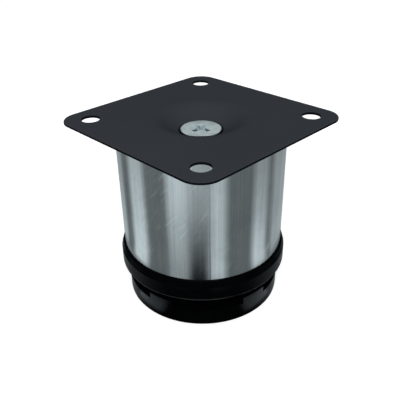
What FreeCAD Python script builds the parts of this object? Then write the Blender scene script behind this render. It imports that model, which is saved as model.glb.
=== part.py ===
import FreeCAD, Part
import Sketcher
import math
import os

# Adjustable cabinet leg: a square plate on a plated tube, and a threaded
# plastic foot in the tube's lower end. Millimetres, +Z up, the origin on the
# floor in the middle of the foot. The plate's sides are parallel to X and Y.

V = FreeCAD.Vector
doc = FreeCAD.newDocument("cabinet_leg")
sheet = doc.addObject("Spreadsheet::Sheet", "dims")
rows = []


class Size:
    """A length with its value and the expression that gives it."""

    def __init__(self, value, text):
        self.value = float(value)
        self.text = text

    def _other(self, other):
        if isinstance(other, Size):
            return other
        return Size(other, repr(float(other)))

    def __add__(self, other):
        o = self._other(other)
        return Size(self.value + o.value, "(" + self.text + " + " + o.text + ")")

    def __sub__(self, other):
        o = self._other(other)
        return Size(self.value - o.value, "(" + self.text + " - " + o.text + ")")

    def __mul__(self, other):
        o = self._other(other)
        return Size(self.value * o.value, "(" + self.text + " * " + o.text + ")")

    def __truediv__(self, other):
        o = self._other(other)
        return Size(self.value / o.value, "(" + self.text + " / " + o.text + ")")


def size(alias, number):
    """Puts one driving size in the sheet and returns it."""
    rows.append(alias)
    cell = "A" + str(len(rows))
    sheet.set(cell, str(number))
    sheet.setAlias(cell, alias)
    return Size(number, "dims." + alias)


def across(radius, degrees, function):
    """A radius times the cosine or sine of an angle."""
    turn = {"cos": math.cos, "sin": math.sin}[function](math.radians(degrees.value))
    text = "(" + radius.text + " * " + function + "(" + degrees.text + " * 1 deg))"
    return Size(radius.value * turn, text)


# Driving sizes

total_height = size("total_height", 57)
plate_side = size("plate_side", 59.4)
plate_gauge = size("plate_gauge", 0.7)
plate_corner = size("plate_corner", 6)
plate_edge_round = size("plate_edge_round", 0.2)
hole_inset = size("hole_inset", 7.2)
hole_bore = size("hole_bore", 5.5)
dish_width = size("dish_width", 26)
dish_depth = size("dish_depth", 3.9)
dish_round = size("dish_round", 8)
dish_margin = size("dish_margin", 0.3)
head_width = size("head_width", 12)
head_proud = size("head_proud", 0.6)
head_land = size("head_land", 0.25)
head_edge = size("head_edge", 0.15)
screw_shank = size("screw_shank", 5.9)
screw_length = size("screw_length", 12)
screw_point = size("screw_point", 0.6)
recess_span = size("recess_span", 6.4)
recess_wing = size("recess_wing", 1.5)
recess_heart = size("recess_heart", 2.6)
recess_depth = size("recess_depth", 2.2)
tube_width = size("tube_width", 50)
tube_gauge = size("tube_gauge", 1.2)
cup_gauge = size("cup_gauge", 1.2)
cup_depth = size("cup_depth", 7.5)
cup_round = size("cup_round", 0.6)
seat_gap = size("seat_gap", 0.15)
nut_flats = size("nut_flats", 10)
nut_height = size("nut_height", 5)
nut_bore = size("nut_bore", 6.05)
nut_chamfer = size("nut_chamfer", 0.5)
collar_reach = size("collar_reach", 1.2)
collar_top = size("collar_top", 17.2)
collar_lip = size("collar_lip", 0.6)
collar_band = size("collar_band", 1.8)
collar_taper = size("collar_taper", 1.3)
rim_height = size("rim_height", 10.1)
slot_depth = size("slot_depth", 5.5)
sleeve_top = size("sleeve_top", 34)
sleeve_relief = size("sleeve_relief", 0.4)
sleeve_gauge = size("sleeve_gauge", 2.45)
sleeve_lead = size("sleeve_lead", 0.8)
rib_count = 12
rib_width = size("rib_width", 1.2)
rib_start = size("rib_start", 3)
rib_end = size("rib_end", 4)
rib_play = size("rib_play", 0.05)
thread_play = size("thread_play", 0.05)
thread_depth = size("thread_depth", 1.1)
thread_pitch = size("thread_pitch", 4)
thread_tip = size("thread_tip", 1.1)
thread_slope = size("thread_slope", 0.5)
thread_slack = size("thread_slack", 0.15)
thread_rise = size("thread_rise", 0.8)
stem_gauge = size("stem_gauge", 2)
stem_top = size("stem_top", 32)
stem_lead = size("stem_lead", 0.6)
foot_inset = size("foot_inset", 0.7)
foot_wall = size("foot_wall", 1.8)
foot_edge = size("foot_edge", 0.25)
foot_ledge = size("foot_ledge", 5.3)
deck_gauge = size("deck_gauge", 1.7)
block_count = 5
block_height = size("block_height", 2.1)
block_angle = size("block_angle", 20)
block_heading = size("block_heading", -95.3)
block_wall = size("block_wall", 3.1)
web_count = 15
web_gauge = size("web_gauge", 1.2)
web_rise = size("web_rise", 0.5)
doc.recompute()


# Helpers for bodies and sketches

def plane(body, role):
    for item in body.Origin.OriginFeatures:
        if item.Role == role:
            return item
    return None


def new_body(name):
    body = doc.addObject("PartDesign::Body", name)
    body.Label = name
    return body


def new_sketch(body, name, role, height=None):
    sketch = body.newObject("Sketcher::SketchObject", name)
    sketch.AttachmentSupport = [(plane(body, role), "")]
    sketch.MapMode = "FlatFace"
    if height is not None:
        sketch.AttachmentOffset = FreeCAD.Placement(V(0, 0, height.value), FreeCAD.Rotation())
        sketch.setExpression("AttachmentOffset.Base.z", height.text)
    return sketch


def bind(sketch, kind, items, length):
    index = sketch.addConstraint(Sketcher.Constraint(kind, *items, length.value))
    sketch.setExpression("Constraints[" + str(index) + "]", length.text)


def outline(sketch, points):
    """A closed run of straight lines, each corner held by two sizes."""
    count = len(points)
    first = sketch.GeometryCount
    for i in range(count):
        x0, y0 = points[i]
        x1, y1 = points[(i + 1) % count]
        sketch.addGeometry(Part.LineSegment(V(x0.value, y0.value, 0), V(x1.value, y1.value, 0)))
    for i in range(count):
        here = first + i
        after = first + (i + 1) % count
        sketch.addConstraint(Sketcher.Constraint("Coincident", here, 2, after, 1))
    for i in range(count):
        x, y = points[i]
        if x.text == "0":
            sketch.addConstraint(Sketcher.Constraint("PointOnObject", first + i, 1, -2))
        else:
            bind(sketch, "DistanceX", (-1, 1, first + i, 1), x)
        if y.text == "0":
            sketch.addConstraint(Sketcher.Constraint("PointOnObject", first + i, 1, -1))
        else:
            bind(sketch, "DistanceY", (-1, 1, first + i, 1), y)


def centred_box(sketch, wide, high):
    """A rectangle about the sketch's origin."""
    a, b = wide.value / 2, high.value / 2
    corners = (V(-a, -b, 0), V(a, -b, 0), V(a, b, 0), V(-a, b, 0))
    for i in range(4):
        sketch.addGeometry(Part.LineSegment(corners[i], corners[(i + 1) % 4]))
    for i in range(4):
        sketch.addConstraint(Sketcher.Constraint("Coincident", i, 2, (i + 1) % 4, 1))
    sketch.addConstraint(Sketcher.Constraint("Horizontal", 0))
    sketch.addConstraint(Sketcher.Constraint("Horizontal", 2))
    sketch.addConstraint(Sketcher.Constraint("Vertical", 1))
    sketch.addConstraint(Sketcher.Constraint("Vertical", 3))
    sketch.addConstraint(Sketcher.Constraint("Symmetric", 0, 1, 1, 2, -1, 1))
    bind(sketch, "DistanceX", (0, 1, 0, 2), wide)
    bind(sketch, "DistanceY", (1, 1, 1, 2), high)


def ring(sketch, radius):
    """A circle about the sketch's origin."""
    index = sketch.addGeometry(Part.Circle(V(0, 0, 0), V(0, 0, 1), radius.value))
    sketch.addConstraint(Sketcher.Constraint("Coincident", index, 3, -1, 1))
    bind(sketch, "Radius", (index,), radius)


def spin(body, kind, name, sketch):
    """A revolution or groove about the body's upright axis."""
    feature = body.newObject(kind, name)
    feature.Profile = sketch
    feature.ReferenceAxis = (sketch, ["V_Axis"])
    feature.Angle = 360
    sketch.Visibility = False
    return feature


def raise_up(body, kind, name, sketch, length, back=False):
    """A pad or pocket of a given length."""
    feature = body.newObject(kind, name)
    feature.Profile = sketch
    feature.Length = length.value
    feature.setExpression("Length", length.text)
    feature.Reversed = back
    sketch.Visibility = False
    return feature


def repeat(body, name, originals, count):
    """Copies evenly spaced round the upright axis."""
    pattern = body.newObject("PartDesign::PolarPattern", name)
    pattern.Originals = originals
    pattern.Axis = (plane(body, "Z_Axis"), [""])
    pattern.Angle = 360
    pattern.Occurrences = count
    body.Tip = pattern
    return pattern


def coil(body, kind, name, sketch, pitch, height):
    """A helical ridge or groove about the upright axis."""
    feature = body.newObject(kind, name)
    feature.Profile = sketch
    feature.ReferenceAxis = (sketch, ["V_Axis"])
    feature.Mode = "pitch-height-angle"
    feature.Pitch = pitch.value
    feature.setExpression("Pitch", pitch.text)
    feature.Height = height.value
    feature.setExpression("Height", height.text)
    feature.Angle = 0
    feature.Reversed = False
    sketch.Visibility = False
    body.Tip = feature
    return feature


def stand(body, height):
    """Sets a body at its height above the floor."""
    body.Placement = FreeCAD.Placement(V(0, 0, height.value), FreeCAD.Rotation())
    body.setExpression("Placement.Base.z", height.text)


NIL = Size(0, "0")
tube_outer = tube_width / 2
tube_inner = tube_outer - tube_gauge
plate_under = total_height - plate_gauge
head_top = total_height - dish_depth + head_proud
head_half = head_width / 2

# Mounting plate: blank, rounded corners and edge, dish, countersink, holes

plate = new_body("mounting_plate")
blank = new_sketch(plate, "plate_blank", "XY_Plane")
centred_box(blank, plate_side, plate_side)
plate_pad = raise_up(plate, "PartDesign::Pad", "plate_pad", blank, plate_gauge)
doc.recompute()
upright = []
for number, edge in enumerate(plate_pad.Shape.Edges):
    box = edge.BoundBox
    if box.ZLength > plate_gauge.value / 2 and box.XLength + box.YLength < 0.01:
        upright.append("Edge" + str(number + 1))
corners = plate.newObject("PartDesign::Fillet", "plate_corners")
corners.Base = (plate_pad, upright)
corners.Radius = plate_corner.value
corners.setExpression("Radius", plate_corner.text)
doc.recompute()
upper = []
for number, edge in enumerate(corners.Shape.Edges):
    if edge.BoundBox.ZMin > plate_gauge.value - 0.01:
        upper.append("Edge" + str(number + 1))
soft_edge = plate.newObject("PartDesign::Fillet", "plate_soft_edge")
soft_edge.Base = (corners, upper)
soft_edge.Radius = plate_edge_round.value
soft_edge.setExpression("Radius", plate_edge_round.text)
dish_rim = dish_width / 2
dish_heel = head_half + dish_margin
floor_level = plate_gauge - dish_depth
bulge = new_sketch(plate, "bulge_profile", "XZ_Plane")
outline(bulge, [(NIL, NIL - dish_depth), (dish_heel, NIL - dish_depth), (dish_rim, NIL), (NIL, NIL)])
spin(plate, "PartDesign::Revolution", "plate_bulge", bulge)
dish = new_sketch(plate, "dish_profile", "XZ_Plane")
outline(dish, [(NIL, floor_level), (dish_heel, floor_level), (dish_rim, plate_gauge),
               (dish_rim, plate_gauge + 1), (NIL, plate_gauge + 1)])
pressed = spin(plate, "PartDesign::Groove", "plate_dish", dish)
doc.recompute()
mouth = []
for number, edge in enumerate(pressed.Shape.Edges):
    box = edge.BoundBox
    if box.ZMin > plate_gauge.value - 0.01 and abs(box.XLength - dish_width.value) < 0.05:
        mouth.append("Edge" + str(number + 1))
soft_mouth = plate.newObject("PartDesign::Fillet", "dish_soft_mouth")
soft_mouth.Base = (pressed, mouth)
soft_mouth.Radius = dish_round.value
soft_mouth.setExpression("Radius", dish_round.text)
seat = new_sketch(plate, "seat_profile", "XZ_Plane")
seat_high = head_half - head_proud + head_land
seat_low = seat_high - plate_gauge
outline(seat, [(NIL, NIL - dish_depth), (seat_low, NIL - dish_depth), (seat_high, floor_level),
               (seat_high, plate_gauge + 1), (NIL, plate_gauge + 1)])
spin(plate, "PartDesign::Groove", "plate_seat", seat)
drill = new_sketch(plate, "hole_mark", "XY_Plane")
hole_out = plate_side / 2 - hole_inset
hole = drill.addGeometry(Part.Circle(V(hole_out.value, hole_out.value, 0), V(0, 0, 1),
                                     hole_bore.value / 2))
bind(drill, "DistanceX", (-1, 1, hole, 3), hole_out)
bind(drill, "DistanceY", (-1, 1, hole, 3), hole_out)
bind(drill, "Radius", (hole,), hole_bore / 2)
corner_hole = raise_up(plate, "PartDesign::Pocket", "corner_hole", drill, plate_gauge, True)
repeat(plate, "corner_holes", [corner_hole], 4)
stand(plate, plate_under)

# Centre screw: countersunk head with a cross recess, plain shank

screw = new_body("centre_screw")
shank_half = screw_shank / 2
cone_foot = screw_length - head_land - head_half + shank_half
profile = new_sketch(screw, "screw_profile", "XZ_Plane")
outline(profile, [(NIL, NIL), (shank_half - screw_point, NIL), (shank_half, screw_point),
                  (shank_half, cone_foot), (head_half, screw_length - head_land),
                  (head_half, screw_length - head_edge), (head_half - head_edge, screw_length),
                  (NIL, screw_length)])
spin(screw, "PartDesign::Revolution", "screw_turned", profile)
wing_reach = recess_span / 2
wing_foot = recess_heart * 0.35
wing_low = screw_length - recess_depth * 0.8
for side, role in (("a", "XZ_Plane"), ("b", "YZ_Plane")):
    wing = new_sketch(screw, "recess_wing_" + side, role, recess_wing / 2)
    outline(wing, [(NIL - wing_reach, screw_length + 1), (NIL - wing_reach, screw_length),
                   (NIL - wing_foot, wing_low), (wing_foot, wing_low),
                   (wing_reach, screw_length), (wing_reach, screw_length + 1)])
    raise_up(screw, "PartDesign::Pocket", "recess_cut_" + side, wing, recess_wing)
heart = new_sketch(screw, "recess_middle", "XZ_Plane")
outline(heart, [(NIL, screw_length - recess_depth - 0.4), (recess_heart * 0.3, screw_length - recess_depth),
                (recess_heart / 2, screw_length), (recess_heart / 2, screw_length + 1),
                (NIL, screw_length + 1)])
spin(screw, "PartDesign::Groove", "recess_heart_cut", heart)
stand(screw, head_top - screw_length)

# Tube: drawn steel, open at both ends

tube_foot = collar_top - slot_depth
tube_length = plate_under - tube_foot
tube = new_body("tube")
wall = new_sketch(tube, "tube_wall", "XY_Plane")
ring(wall, tube_outer)
ring(wall, tube_inner)
raise_up(tube, "PartDesign::Pad", "tube_drawn", wall, tube_length)
stand(tube, tube_foot)

# End cup: a pressed disc with a skirt inside the tube's upper end

cup = new_body("end_cup")
cup_floor = cup_depth - cup_gauge
seat_wide = seat_low + seat_gap
press = new_sketch(cup, "cup_profile", "XZ_Plane")
outline(press, [(tube_inner - cup_gauge, NIL), (tube_inner, NIL), (tube_inner, cup_depth - cup_round),
                (tube_inner - cup_round, cup_depth), (dish_rim + seat_gap, cup_depth),
                (dish_heel + seat_gap, cup_depth - dish_depth), (seat_wide, cup_depth - dish_depth),
                (seat_wide - cup_gauge, cup_floor - dish_depth), (dish_heel, cup_floor - dish_depth),
                (dish_rim, cup_floor), (tube_inner - cup_gauge, cup_floor)])
spin(cup, "PartDesign::Revolution", "cup_pressed", press)
stand(cup, plate_under - cup_depth)

# Nut under the cup: hexagon with a chamfered lower face

nut = new_body("cap_nut")
hexagon = new_sketch(nut, "nut_flats_outline", "XY_Plane")
reach = nut_flats.value / math.sqrt(3)
for i in range(6):
    a, b = math.radians(60 * i), math.radians(60 * (i + 1))
    hexagon.addGeometry(Part.LineSegment(V(reach * math.cos(a), reach * math.sin(a), 0),
                                         V(reach * math.cos(b), reach * math.sin(b), 0)))
round_all = hexagon.addGeometry(Part.Circle(V(0, 0, 0), V(0, 0, 1), reach), True)
hexagon.addConstraint(Sketcher.Constraint("Coincident", round_all, 3, -1, 1))
for i in range(6):
    hexagon.addConstraint(Sketcher.Constraint("Coincident", i, 2, (i + 1) % 6, 1))
for i in range(6):
    hexagon.addConstraint(Sketcher.Constraint("PointOnObject", i, 1, round_all))
for i in range(5):
    hexagon.addConstraint(Sketcher.Constraint("Equal", i, i + 1))
hexagon.addConstraint(Sketcher.Constraint("PointOnObject", 0, 1, -1))
bind(hexagon, "Radius", (round_all,), nut_flats / math.sqrt(3))
raise_up(nut, "PartDesign::Pad", "nut_block", hexagon, nut_height)
tap = new_sketch(nut, "nut_bore_profile", "XZ_Plane")
cone_at_nut = seat_wide - cup_gauge
outline(tap, [(NIL, NIL - 1), (nut_bore / 2 + nut_chamfer + 1, NIL - 1), (nut_bore / 2, nut_chamfer),
              (nut_bore / 2, nut_height + nut_bore / 2 - cone_at_nut), (cone_at_nut + 1, nut_height + 1),
              (NIL, nut_height + 1)])
spin(nut, "PartDesign::Groove", "nut_tapped", tap)
bevel = new_sketch(nut, "nut_bevel_profile", "XZ_Plane")
outline(bevel, [(nut_flats / 2, NIL), (nut_flats * 0.7, nut_flats * 0.115), (nut_flats * 0.7, NIL)])
spin(nut, "PartDesign::Groove", "nut_bevel", bevel)
stand(nut, plate_under - dish_depth - cup_gauge - nut_height)

# Foot sleeve: collar outside the tube, ribbed spigot inside, threaded bore

sleeve = new_body("foot_sleeve")
spigot_half = tube_inner - sleeve_relief
bore = spigot_half - sleeve_gauge
crest = bore - thread_play
thread_start = foot_ledge + thread_rise
collar_half = tube_outer + collar_reach
sleeve_height = sleeve_top - rim_height
collar_height = collar_top - rim_height
form = new_sketch(sleeve, "sleeve_profile", "XZ_Plane")
outline(form, [(bore + sleeve_lead, NIL), (collar_half - collar_taper, NIL), (collar_half, collar_taper),
               (collar_half, collar_height - collar_band), (tube_outer + collar_lip, collar_height),
               (tube_outer, collar_height), (tube_outer, collar_height - slot_depth),
               (spigot_half, collar_height - slot_depth), (spigot_half, sleeve_height - sleeve_lead),
               (spigot_half - sleeve_lead, sleeve_height), (bore + sleeve_lead, sleeve_height),
               (bore, sleeve_height - sleeve_lead), (bore, sleeve_lead)])
spin(sleeve, "PartDesign::Revolution", "sleeve_turned", form)
rib = new_sketch(sleeve, "rib_outline", "XY_Plane", rib_start)
outline(rib, [(spigot_half - 0.5, NIL), (tube_inner - rib_play, NIL), (tube_inner - rib_play, rib_width / 2),
              (spigot_half - 0.5, rib_width / 2)])
rib_pad = raise_up(sleeve, "PartDesign::Pad", "press_rib", rib, sleeve_height - rib_start - rib_end)
repeat(sleeve, "press_ribs", [rib_pad], rib_count)
cutter = new_sketch(sleeve, "inner_thread_profile", "XZ_Plane")
inner_root = bore + thread_depth
slack_tip = thread_tip + thread_slack * 2
cut_low = NIL + thread_start - rim_height
outline(cutter, [(bore - 0.3, cut_low - thread_slack - thread_slope), (inner_root, cut_low - thread_slack),
                 (inner_root, cut_low - thread_slack + slack_tip),
                 (bore - 0.3, cut_low - thread_slack + slack_tip + thread_slope)])
coil(sleeve, "PartDesign::SubtractiveHelix", "inner_thread", cutter, thread_pitch,
     sleeve_height + thread_pitch * 2)
stand(sleeve, rim_height)

# Adjusting foot: disc, hollow stem, webs below, grip blocks above, thread

foot = new_body("adjusting_foot")
stem_root = crest - thread_depth
stem_bore = stem_root - stem_gauge
foot_half = tube_outer - foot_inset
channel_half = foot_half - foot_wall
channel_top = foot_ledge - deck_gauge
shape = new_sketch(foot, "foot_profile", "XZ_Plane")
outline(shape, [(channel_half, NIL), (foot_half - foot_edge, NIL), (foot_half, foot_edge),
                (foot_half, foot_ledge), (stem_root, foot_ledge), (stem_root, stem_top - stem_lead),
                (stem_root - stem_lead, stem_top), (stem_bore + stem_lead, stem_top),
                (stem_bore, stem_top - stem_lead), (stem_bore, NIL), (stem_root, NIL),
                (stem_root, channel_top), (channel_half, channel_top)])
spin(foot, "PartDesign::Revolution", "foot_turned", shape)
web = new_sketch(foot, "web_outline", "XY_Plane", web_rise)
outline(web, [(stem_root - 0.5, NIL), (channel_half + 0.5, NIL), (channel_half + 0.5, web_gauge),
              (stem_root - 0.5, web_gauge)])
web_pad = raise_up(foot, "PartDesign::Pad", "foot_web", web, channel_top - web_rise + 0.4)
repeat(foot, "foot_webs", [web_pad], web_count)
block = new_sketch(foot, "block_outline", "XY_Plane", foot_ledge - 0.3)
wide = foot_half + 1.5
block_in = foot_half - block_wall
outline(block, [(block_in, NIL), (wide, NIL), (across(wide, block_angle, "cos"), across(wide, block_angle, "sin")),
                (across(block_in, block_angle, "cos"), across(block_in, block_angle, "sin"))])
block_pad = raise_up(foot, "PartDesign::Pad", "grip_block", block, block_height + 0.3)
repeat(foot, "grip_blocks", [block_pad], block_count)
trim = new_sketch(foot, "rim_trim_profile", "XZ_Plane")
outline(trim, [(foot_half, foot_edge), (foot_half + 4, foot_edge), (foot_half + 4, foot_ledge + block_height + 1),
               (foot_half, foot_ledge + block_height + 1)])
spin(foot, "PartDesign::Groove", "rim_trim", trim)
ridge = new_sketch(foot, "outer_thread_profile", "XZ_Plane")
outline(ridge, [(stem_root - 0.3, thread_start - thread_slope), (crest, thread_start),
                (crest, thread_start + thread_tip), (stem_root - 0.3, thread_start + thread_tip + thread_slope)])
thread_run = stem_top - thread_start - thread_tip - thread_slope - stem_lead
coil(foot, "PartDesign::AdditiveHelix", "outer_thread", ridge, thread_pitch, thread_run)
foot.Placement = FreeCAD.Placement(V(0, 0, 0), FreeCAD.Rotation(V(0, 0, 1), block_heading.value - block_angle.value / 2))

doc.recompute()

# Check every object before anything is written

for item in doc.Objects:
    if "Invalid" in item.State or "Error" in item.State:
        raise RuntimeError("failed object: " + item.Name)

bodies = (plate, screw, tube, cup, nut, sleeve, foot)
for body in bodies:
    solid = body.Shape
    if solid.isNull() or not solid.isValid() or len(solid.Solids) != 1:
        raise RuntimeError("bad solid: " + body.Label)

os.makedirs("parts", exist_ok=True)
for body in bodies:
    body.Shape.exportStep("parts/" + body.Label + ".step")
    box = body.Shape.BoundBox
    print(body.Label, round(body.Shape.Volume, 1), [round(v, 2) for v in (
        box.XMin, box.XMax, box.YMin, box.YMax, box.ZMin, box.ZMax)])
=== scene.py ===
import math

import bpy
from mathutils import Matrix, Vector


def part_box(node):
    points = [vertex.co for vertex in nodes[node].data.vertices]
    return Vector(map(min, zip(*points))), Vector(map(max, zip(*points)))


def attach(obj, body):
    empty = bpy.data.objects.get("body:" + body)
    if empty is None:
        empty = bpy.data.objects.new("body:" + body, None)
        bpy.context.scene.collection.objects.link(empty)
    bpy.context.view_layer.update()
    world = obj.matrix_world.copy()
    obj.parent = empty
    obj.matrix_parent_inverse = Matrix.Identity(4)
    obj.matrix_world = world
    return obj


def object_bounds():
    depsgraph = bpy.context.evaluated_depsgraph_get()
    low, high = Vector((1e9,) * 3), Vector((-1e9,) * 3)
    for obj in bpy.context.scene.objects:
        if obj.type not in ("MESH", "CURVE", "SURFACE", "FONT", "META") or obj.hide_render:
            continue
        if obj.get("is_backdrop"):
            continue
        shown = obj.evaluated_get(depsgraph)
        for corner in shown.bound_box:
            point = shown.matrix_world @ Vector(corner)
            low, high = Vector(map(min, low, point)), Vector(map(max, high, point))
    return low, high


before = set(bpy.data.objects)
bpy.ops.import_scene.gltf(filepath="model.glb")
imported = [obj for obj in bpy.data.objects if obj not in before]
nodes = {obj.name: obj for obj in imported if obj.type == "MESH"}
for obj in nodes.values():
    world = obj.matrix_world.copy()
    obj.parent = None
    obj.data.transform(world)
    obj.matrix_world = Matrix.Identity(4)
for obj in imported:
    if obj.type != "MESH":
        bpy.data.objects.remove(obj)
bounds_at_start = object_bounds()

# Adjustable cabinet leg: black coated plate, bright plated tube, black plastic
# sleeve and foot. Metres, +Z up, the floor at zero.

scene = bpy.context.scene
scene.view_settings.view_transform = "Standard"

# Where things are on the part, in metres and radians

TUBE_RADIUS = 0.025
SEAM_HEADING = math.radians(-129.9)
WIPE_ANGLE = math.radians(-38)
SCREW_PITCH = 0.001
THREAD_END = (0.0494, 0.0500)
# Radii beyond which the screw head's upright rim gets painted shade
HEAD_RIM_SHADE = (0.0050, 0.0054)
# Radii of the painted shadow ring in the plate's seat round the screw head
SEAT_SHADOW_RING = (0.0062, 0.0070)
LIP_INSET = 0.00021
LIP_RISE = 0.00109
LIP_HALF = 0.00020

# Camera at the photo's viewing angle

CAMERA_EYE = Vector((-0.10057, -0.10140, 0.11283))
CAMERA_AIM = Vector((-0.00048, 0.00048, 0.02945))
CAMERA_HEADING = math.radians(-134.8)
CAMERA_ROLL = math.radians(-1.06)
CAMERA_LENS = 47.34


# Small helpers for node materials

class Paint:
    """A node material with a Principled shader and short ways to add nodes."""

    def __init__(self, name):
        self.material = bpy.data.materials.new(name)
        self.material.use_nodes = True
        self.tree = self.material.node_tree
        self.shader = self.tree.nodes["Principled BSDF"]
        self.place = self.add("ShaderNodeTexCoord").outputs["Object"]

    def add(self, kind, **values):
        node = self.tree.nodes.new(kind)
        for key, value in values.items():
            setattr(node, key, value)
        return node

    def link(self, source, target):
        self.tree.links.new(source, target)

    def scaled(self, x, y, z):
        mapping = self.add("ShaderNodeMapping")
        mapping.inputs["Scale"].default_value = (x, y, z)
        self.link(self.place, mapping.inputs["Vector"])
        return mapping.outputs["Vector"]

    def noise(self, scale, detail=4.0, rough=0.55, vector=None):
        node = self.add("ShaderNodeTexNoise")
        node.inputs["Scale"].default_value = scale
        node.inputs["Detail"].default_value = detail
        node.inputs["Roughness"].default_value = rough
        self.link(vector or self.place, node.inputs["Vector"])
        return node.outputs["Fac"]

    def ramp(self, source, *stops):
        node = self.add("ShaderNodeValToRGB")
        while len(node.color_ramp.elements) < len(stops):
            node.color_ramp.elements.new(0.5)
        for element, (where, colour) in zip(node.color_ramp.elements, stops):
            element.position = where
            element.color = (colour[0], colour[1], colour[2], 1.0)
        self.link(source, node.inputs["Fac"])
        return node.outputs["Color"]

    def spread(self, source, low, high, low_to, high_to):
        node = self.add("ShaderNodeMapRange")
        for key, value in (("From Min", low), ("From Max", high), ("To Min", low_to), ("To Max", high_to)):
            node.inputs[key].default_value = value
        self.link(source, node.inputs["Value"])
        return node.outputs["Result"]

    def combine(self, kind, a, b):
        """A math node on two values or sockets."""
        node = self.add("ShaderNodeMath", operation=kind)
        for socket, value in zip(node.inputs, (a, b)):
            if isinstance(value, (int, float)):
                socket.default_value = value
            else:
                self.link(value, socket)
        return node.outputs["Value"]

    def blend(self, share, a, b):
        node = self.add("ShaderNodeMix", data_type="RGBA")
        self.link(share, node.inputs["Factor"])
        self.link(a, node.inputs[6])
        self.link(b, node.inputs[7])
        return node.outputs[2]

    def bump(self, height, depth, strength=1.0, after=None):
        node = self.add("ShaderNodeBump")
        node.inputs["Strength"].default_value = strength
        node.inputs["Distance"].default_value = depth
        self.link(height, node.inputs["Height"])
        if after is not None:
            self.link(after, node.inputs["Normal"])
        return node.outputs["Normal"]

    def set(self, **values):
        names = {"colour": "Base Color", "rough": "Roughness", "metal": "Metallic", "normal": "Normal",
                 "specular": "Specular IOR Level"}
        for key, value in values.items():
            socket = self.shader.inputs[names[key]]
            if isinstance(value, (int, float, tuple)):
                socket.default_value = value
            else:
                self.link(value, socket)

    def beyond(self, low, high):
        """Rises from 0 to 1 between two distances from the upright axis."""
        flat = self.add("ShaderNodeVectorMath", operation="MULTIPLY")
        self.link(self.place, flat.inputs[0])
        flat.inputs[1].default_value = (1.0, 1.0, 0.0)
        far = self.add("ShaderNodeVectorMath", operation="LENGTH")
        self.link(flat.outputs["Vector"], far.inputs[0])
        return self.spread(far.outputs["Value"], low, high, 0.0, 1.0)

    def tilt(self):
        """How far the surface faces up, from -1 to 1."""
        parts = self.add("ShaderNodeSeparateXYZ")
        self.link(self.add("ShaderNodeTexCoord").outputs["Normal"], parts.inputs["Vector"])
        return parts.outputs["Z"]

    def upright(self, low, high):
        """1 on upright walls, 0 on surfaces that face up or down."""
        return self.spread(self.combine("ABSOLUTE", self.tilt(), 0.0), low, high, 1.0, 0.0)

    def apart(self):
        """The place on the piece as X, Y and Z."""
        node = self.add("ShaderNodeSeparateXYZ")
        self.link(self.place, node.inputs["Vector"])
        return node.outputs


def wear(names, paint):
    for name in names:
        piece = nodes[name]
        piece.data.materials.clear()
        piece.data.materials.append(paint.material)


# Powder coat on the plate: fine skin, faint cloudiness, with painted shade that darkens the sheet's upright
# edge and a painted shadow ring in the seat round the screw head

coat = Paint("plate_powder_coat")
skin = coat.ramp(coat.noise(28.0, 2.0), (0.3, (0.0375, 0.0432, 0.0506)), (0.7, (0.0418, 0.0474, 0.0552)))
# Painted shade: a near-black coat colour for the sheet's upright edge and the shadow ring round the screw
# head
painted_shade = coat.ramp(coat.noise(300.0, 2.0), (0.3, (0.0030, 0.0040, 0.0050)), (0.7, (0.0045, 0.0060, 0.0070)))
# Painted shadow: the near-black colour fills the seat round the screw head
skin = coat.blend(coat.beyond(*SEAT_SHADOW_RING), painted_shade, skin)
# Painted shade: the near-black colour also covers the sheet's upright edge
coat.set(colour=coat.blend(coat.upright(0.2, 0.6), skin, painted_shade),
         rough=coat.spread(coat.noise(900.0, 2.0), 0.3, 0.7, 0.56, 0.64), metal=0.0, specular=0.0)
coat.set(normal=coat.bump(coat.noise(2600.0, 3.0, 0.6), 0.00003, 0.35))
wear(["mounting_plate"], coat)

# Zinc on the screw: pale and faintly cloudy, painted shade on the head's rim, threaded below the head

zinc = Paint("zinc_plating")
across, along, up_axis = zinc.apart()
turn = zinc.combine("MULTIPLY", zinc.combine("ARCTAN2", along, across), SCREW_PITCH / math.tau)
climb = zinc.combine("PINGPONG", zinc.combine("ADD", up_axis, turn), SCREW_PITCH / 2)
ridge = zinc.spread(climb, 0.0, SCREW_PITCH / 2, 0.0, 1.0)
shank = zinc.spread(up_axis, *THREAD_END, 1.0, 0.0)
thread = zinc.bump(zinc.combine("MULTIPLY", ridge, shank), 0.0005, 1.0)
patches = zinc.noise(380.0, 5.0)
pale = zinc.ramp(patches, (0.3, (0.27, 0.33, 0.34)), (0.7, (0.40, 0.47, 0.49)))
# Painted shade: near-black zinc that stands in for the shadow round the head's rim
painted_rim_shade = zinc.ramp(patches, (0.3, (0.020, 0.024, 0.026)), (0.7, (0.040, 0.046, 0.048)))
# Where the painted shade goes: upright faces at the head's rim
rim_shade = zinc.combine("MULTIPLY", zinc.upright(0.15, 0.5), zinc.beyond(*HEAD_RIM_SHADE))
zinc.set(colour=zinc.blend(rim_shade, pale, painted_rim_shade),
         rough=zinc.spread(zinc.noise(900.0, 3.0), 0.3, 0.7, 0.34, 0.52), metal=0.85, specular=0.5)
zinc.set(normal=zinc.bump(zinc.noise(3000.0, 2.0), 0.00003, 0.4, thread))
wear(["centre_screw"], zinc)

# Zinc on the hidden fittings

inner = Paint("inner_zinc")
inner.set(colour=inner.ramp(inner.noise(160.0, 4.0), (0.3, (0.30, 0.31, 0.31)), (0.7, (0.44, 0.45, 0.44))),
          rough=inner.spread(inner.noise(500.0, 3.0), 0.3, 0.7, 0.38, 0.55), metal=0.9, specular=0.5)
inner.set(normal=inner.bump(inner.noise(1400.0, 2.0), 0.00004, 0.4))
wear(["end_cup", "cap_nut"], inner)

# Plating on the tube: fine draw lines, haze, slanting wipe marks, a straight weld seam

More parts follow.
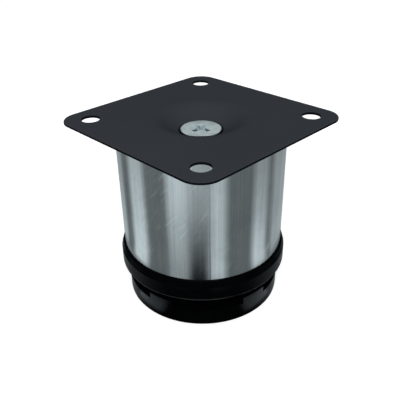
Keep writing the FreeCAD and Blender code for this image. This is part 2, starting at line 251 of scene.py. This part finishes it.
plating = Paint("tube_bright_plating")
x, y, z = plating.apart()
heading = plating.combine("ARCTAN2", y, x)
off_seam = plating.combine("ABSOLUTE", plating.combine("SUBTRACT", heading, SEAM_HEADING), 0.0)
seam = plating.spread(off_seam, 0.003, 0.011, 1.0, 0.0)
draw_lines = plating.noise(1500.0, 3.0, 0.6, plating.scaled(1.0, 1.0, 0.012))
smudge = plating.noise(90.0, 5.0, 0.62, plating.scaled(1.0, 1.0, 0.5))
unrolled = plating.add("ShaderNodeCombineXYZ")
plating.link(plating.combine("MULTIPLY", heading, TUBE_RADIUS), unrolled.inputs["X"])
plating.link(z, unrolled.inputs["Y"])
slant = plating.add("ShaderNodeMapping", vector_type="TEXTURE")
slant.inputs["Rotation"].default_value = (0.0, 0.0, WIPE_ANGLE)
slant.inputs["Scale"].default_value = (1.0, 7.0, 1.0)
plating.link(unrolled.outputs["Vector"], slant.inputs["Vector"])
wiped = plating.spread(plating.noise(900.0, 4.0, 0.6, slant.outputs["Vector"]), 0.52, 0.70, 0.0, 1.0)
patch = plating.spread(plating.noise(75.0, 2.0), 0.50, 0.66, 0.0, 1.0)
marks = plating.combine("MULTIPLY", wiped, patch)
bright = plating.ramp(draw_lines, (0.32, (0.60, 0.615, 0.62)), (0.68, (0.72, 0.735, 0.74)))
rubbed = plating.ramp(draw_lines, (0.32, (0.76, 0.78, 0.78)), (0.68, (0.86, 0.88, 0.88)))
cloudy = plating.ramp(draw_lines, (0.32, (0.52, 0.54, 0.55)), (0.68, (0.62, 0.64, 0.65)))
haze = plating.spread(plating.noise(110.0, 5.0, 0.65), 0.42, 0.66, 0.0, 0.9)
bright = plating.blend(haze, bright, cloudy)
bright = plating.blend(marks, bright, rubbed)
weld = plating.ramp(seam, (0.0, (0.50, 0.51, 0.52)), (1.0, (0.55, 0.56, 0.57)))
smooth = plating.spread(smudge, 0.35, 0.75, 0.11, 0.20)
dulled = plating.combine("ADD", smooth, plating.combine("MULTIPLY", marks, 0.14))
plating.set(colour=plating.blend(seam, bright, weld), rough=dulled, metal=1.0, specular=0.5)
lines = plating.bump(draw_lines, 0.000008, 0.4)
plating.set(normal=plating.bump(seam, 0.00003, 0.5, lines))
wear(["tube"], plating)

# Moulded black plastic: satin skin with a fine grain, duller where it faces up

plastic = Paint("black_moulded_plastic")
cloud = plastic.noise(120.0, 3.0)
black = plastic.ramp(cloud, (0.3, (0.0006, 0.0008, 0.0010)), (0.7, (0.0012, 0.0015, 0.0018)))
plastic.set(colour=black, rough=plastic.spread(plastic.noise(420.0, 3.0), 0.3, 0.7, 0.13, 0.20), metal=0.0,
            specular=plastic.spread(plastic.tilt(), 0.10, 0.26, 0.12, 0.01))
plastic.set(normal=plastic.bump(plastic.noise(1800.0, 3.0), 0.00004, 0.4))
wear(["foot_sleeve", "adjusting_foot"], plastic)

# Plastic on the bead with a painted highlight, paler in patches

lip_highlight = Paint("lip_painted_highlight")
# Painted highlight: paler patches that stand in for a broken line of light along the bead
painted_highlight = lip_highlight.ramp(lip_highlight.noise(140.0, 4.0), (0.40, (0.0015, 0.0018, 0.0022)), (0.62, (0.010, 0.011, 0.012)))
lip_highlight.set(colour=painted_highlight, rough=lip_highlight.spread(lip_highlight.noise(420.0, 3.0), 0.3, 0.7, 0.25, 0.40),
         metal=0.0, specular=0.35)


# Fine bead along the collar's lower edge, which catches light and wears a painted highlight

def bead(name, radius, height, half, rider, paint):
    """A thin round ring about the upright axis, which rides a body."""
    around, section = 160, 8
    points, faces = [], []
    for i in range(around):
        turn = math.tau * i / around
        for j in range(section):
            tilt = math.tau * j / section
            far = radius + half * math.cos(tilt)
            points.append((far * math.cos(turn), far * math.sin(turn), height + half * math.sin(tilt)))
    for i in range(around):
        for j in range(section):
            a, b = i * section, (i + 1) % around * section
            faces.append((a + j, b + j, b + (j + 1) % section, a + (j + 1) % section))
    mesh = bpy.data.meshes.new(name)
    mesh.from_pydata(points, [], faces)
    mesh.polygons.foreach_set("use_smooth", [True] * len(faces))
    mesh.materials.append(paint.material)
    item = bpy.data.objects.new(name, mesh)
    scene.collection.objects.link(item)
    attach(item, rider)


sleeve_low, sleeve_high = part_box("foot_sleeve")
# The bead wears the painted highlight
bead("collar_lip", sleeve_high.x - LIP_INSET, sleeve_low.z + LIP_RISE, LIP_HALF, "leg", lip_highlight)


# Studio ring: a curved card round the leg that only reflections see. It is dim all round and
# dark towards the camera, with a few soft boxes on it and a pale floor at the sides. Headings
# and widths are in degrees, and a heading counts from the camera's side, positive to its right.

RING_RADIUS = 0.048
RING_TOP = 0.066
RING_STEPS = 120
RING_TINT = (0.85, 0.97, 1.01)
# From the edge just outside the foot's disc along the floor, round a bend and up the wall
RING_PROFILE = ((0.02436, 0.0004), (0.0435, 0.0008), (RING_RADIUS, 0.0040), (RING_RADIUS, RING_TOP))
# Heights between which the ring's floor gives way to its wall
WALL_START = (0.0008, 0.0012)

SURROUND = 0.18
DARK_HEADING = -4
DARK_HALF = 9
BOX_FADE = 4
# Heights at which a soft box has its lower and its upper glow
BOX_HEIGHTS = (0.001, 0.036)
# Each soft box: its heading, half its width, its lower glow and its upper glow
SOFT_BOXES = {
    "rear_left": (-120, 15, 0.35, 0.20),
    "left": (-75, 12, 0.70, 0.40),
    "front_left": (-25, 10, 0.20, 0.60),
    "above_camera": (-5, 10, 0.00, 0.50),
    "front_right": (15, 8, 0.50, 0.50),
    "right": (65, 10, 0.60, 0.20),
    "rear_right": (110, 25, 0.30, 0.20),
    "behind_right": (165, 15, 0.40, 0.40),
    "behind_left": (-165, 15, 0.40, 0.40),
}

# The ring's floor is pale at the sides and behind, from the first of these headings to the second
FLOOR_GLOW = 0.25
FLOOR_SIDES = (35, 65)
# Beside the foot it glows on both sides, between these distances from the upright axis
NEAR_GLOW = 0.90
NEAR_HEADING = 50
NEAR_HALF = 15
NEAR_RISE = (0.0249, 0.0264)
NEAR_FALL = (0.0290, 0.0350)


def share_within(paint, angle, centre, half):
    """1 within half a width of a heading, 0 outside, with a soft edge."""
    off = paint.combine("ABSOLUTE", paint.combine("SUBTRACT", angle, math.radians(centre)), 0.0)
    return paint.spread(off, math.radians(half - BOX_FADE), math.radians(half + BOX_FADE), 1.0, 0.0)


def ring_mesh():
    """The ring's profile turned round the upright axis."""
    rows = len(RING_PROFILE)
    points, faces = [], []
    for i in range(RING_STEPS):
        turn = math.tau * i / RING_STEPS
        for radius, height in RING_PROFILE:
            points.append((radius * math.cos(turn), radius * math.sin(turn), height))
        for j in range(rows - 1):
            a, b = rows * i + j, rows * ((i + 1) % RING_STEPS) + j
            faces.append((a, a + 1, b + 1, b))
    mesh = bpy.data.meshes.new("studio_ring")
    mesh.from_pydata(points, [], faces)
    return mesh


def wall_glow(paint, angle, height):
    """Dim all round, dark towards the camera, and bright at the soft boxes."""
    in_front = share_within(paint, angle, DARK_HEADING, DARK_HALF)
    glow = paint.spread(in_front, 0.0, 1.0, SURROUND, 0.0)
    for centre, half, lower, upper in SOFT_BOXES.values():
        box = share_within(paint, angle, centre, half)
        level = paint.spread(height, *BOX_HEIGHTS, lower, upper)
        glow = paint.combine("ADD", glow, paint.combine("MULTIPLY", box, level))
    return glow


def near_glow(paint, to_side):
    """Brightest close to the foot, on both sides of the camera."""
    close_by = paint.combine("SUBTRACT", paint.beyond(*NEAR_RISE), paint.beyond(*NEAR_FALL))
    beside_foot = share_within(paint, to_side, NEAR_HEADING, NEAR_HALF)
    return paint.combine("MULTIPLY", paint.combine("MULTIPLY", close_by, beside_foot), NEAR_GLOW)


def ring_paint():
    paint = Paint("studio_ring")
    ahead, beside, height = paint.apart()
    angle = paint.combine("ARCTAN2", beside, ahead)
    to_side = paint.combine("ABSOLUTE", angle, 0.0)
    on_wall = paint.combine("MULTIPLY", wall_glow(paint, angle, height),
                            paint.spread(height, *WALL_START, 0.0, 1.0))
    pale = paint.spread(to_side, *(math.radians(side) for side in FLOOR_SIDES), 0.0, FLOOR_GLOW)
    on_floor = paint.combine("MULTIPLY", pale, paint.spread(height, *WALL_START, 1.0, 0.0))
    glow = paint.combine("ADD", on_wall, on_floor)
    light = paint.add("ShaderNodeEmission")
    light.inputs["Color"].default_value = (*RING_TINT, 1.0)
    paint.link(paint.combine("MAXIMUM", glow, near_glow(paint, to_side)), light.inputs["Strength"])
    paint.tree.nodes.remove(paint.shader)
    paint.link(light.outputs["Emission"], paint.tree.nodes["Material Output"].inputs["Surface"])
    return paint


def studio_ring():
    ring = bpy.data.objects.new("studio_ring", ring_mesh())
    ring.data.materials.append(ring_paint().material)
    ring.rotation_euler.z = CAMERA_HEADING
    scene.collection.objects.link(ring)
    ring.visible_camera = False
    ring.visible_diffuse = False
    ring.visible_shadow = False
    ring.visible_transmission = False
    ring.visible_volume_scatter = False
    ring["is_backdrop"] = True


studio_ring()


# Plain pale floor, lifted to white for the eye, so that only its shadow shows

FLOOR_REACH = 3.0
FLOOR_DROP = 0.0001
FLOOR_LIFT = 0.52

floor_mesh = bpy.data.meshes.new("floor")
corners = [(x * FLOOR_REACH, y * FLOOR_REACH, 0) for x, y in ((-1, -1), (1, -1), (1, 1), (-1, 1))]
floor_mesh.from_pydata(corners, [], [(0, 1, 2, 3)])
floor = bpy.data.objects.new("floor", floor_mesh)
scene.collection.objects.link(floor)
floor.location.z = -FLOOR_DROP
ground = Paint("pale_floor")
ground.set(colour=ground.ramp(ground.noise(3.0, 2.0), (0.3, (0.83, 0.83, 0.83)), (0.7, (0.86, 0.86, 0.86))),
           rough=0.9, specular=0.1)
seen = ground.add("ShaderNodeLightPath")
by_eye = ground.combine("MAXIMUM", seen.outputs["Is Camera Ray"], seen.outputs["Is Glossy Ray"])
by_eye = ground.combine("MAXIMUM", by_eye, seen.outputs["Is Transmission Ray"])
lift = ground.add("ShaderNodeEmission")
ground.link(ground.combine("MULTIPLY", by_eye, FLOOR_LIFT), lift.inputs["Strength"])
both = ground.add("ShaderNodeAddShader")
ground.link(ground.shader.outputs["BSDF"], both.inputs[0])
ground.link(lift.outputs["Emission"], both.inputs[1])
ground.link(both.outputs[0], ground.tree.nodes["Material Output"].inputs["Surface"])
floor_mesh.materials.append(ground.material)
floor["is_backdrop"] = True

# World: soft light on the part, white to the eye and in reflections

world = bpy.data.worlds.new("studio")
scene.world = world
world.use_nodes = True
tree = world.node_tree
tree.nodes.clear()
out = tree.nodes.new("ShaderNodeOutputWorld")
path = tree.nodes.new("ShaderNodeLightPath")
soft = tree.nodes.new("ShaderNodeBackground")
soft.inputs["Color"].default_value = (0.96, 0.98, 1.0, 1.0)
soft.inputs["Strength"].default_value = 0.28
white = tree.nodes.new("ShaderNodeBackground")
white.inputs["Color"].default_value = (1.0, 1.0, 1.0, 1.0)
white.inputs["Strength"].default_value = 1.0
either = tree.nodes.new("ShaderNodeMath")
either.operation = "MAXIMUM"
tree.links.new(path.outputs["Is Camera Ray"], either.inputs[0])
tree.links.new(path.outputs["Is Glossy Ray"], either.inputs[1])
also = tree.nodes.new("ShaderNodeMath")
also.operation = "MAXIMUM"
tree.links.new(either.outputs[0], also.inputs[0])
tree.links.new(path.outputs["Is Transmission Ray"], also.inputs[1])
mix = tree.nodes.new("ShaderNodeMixShader")
tree.links.new(also.outputs[0], mix.inputs["Fac"])
tree.links.new(soft.outputs[0], mix.inputs[1])
tree.links.new(white.outputs[0], mix.inputs[2])
tree.links.new(mix.outputs[0], out.inputs["Surface"])


# Lamps

def lamp(name, place, aim, wide, power):
    """A round lamp at a place, turned to its aim."""
    data = bpy.data.lights.new(name, "AREA")
    data.shape = "DISK"
    data.size = wide
    data.energy = power
    item = bpy.data.objects.new(name, data)
    scene.collection.objects.link(item)
    item.location = place
    item.rotation_euler = (Vector(aim) - Vector(place)).to_track_quat("-Z", "Y").to_euler()


lamp("key", (-0.84, -0.84, 0.92), (0, 0, 0.03), 1.0, 17.0)
lamp("fill", (0.35, 0.45, 1.30), (0, 0, 0.03), 1.1, 2.5)

# Camera

forward = (CAMERA_AIM - CAMERA_EYE).normalized()
level = forward.cross(Vector((0, 0, 1))).normalized()
above = level.cross(forward)
right = level * math.cos(CAMERA_ROLL) + above * math.sin(CAMERA_ROLL)
up = right.cross(forward)
camera_data = bpy.data.cameras.new("camera")
camera_data.lens = CAMERA_LENS
camera_data.sensor_width = 36.0
camera_data.clip_start = 0.005
camera = bpy.data.objects.new("camera", camera_data)
camera.matrix_world = Matrix((
    (right.x, up.x, -forward.x, CAMERA_EYE.x),
    (right.y, up.y, -forward.y, CAMERA_EYE.y),
    (right.z, up.z, -forward.z, CAMERA_EYE.z),
    (0, 0, 0, 1)))
scene.collection.objects.link(camera)
scene.camera = camera


# The part's bounds before and after, as plain lists

def plain(values):
    if isinstance(values, dict):
        return {key: plain(value) for key, value in values.items()}
    if isinstance(values, (list, tuple)) or hasattr(values, "__len__") and not isinstance(values, str):
        return [plain(value) for value in values]
    return values


{"start": plain(bounds_at_start), "end": plain(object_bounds())}
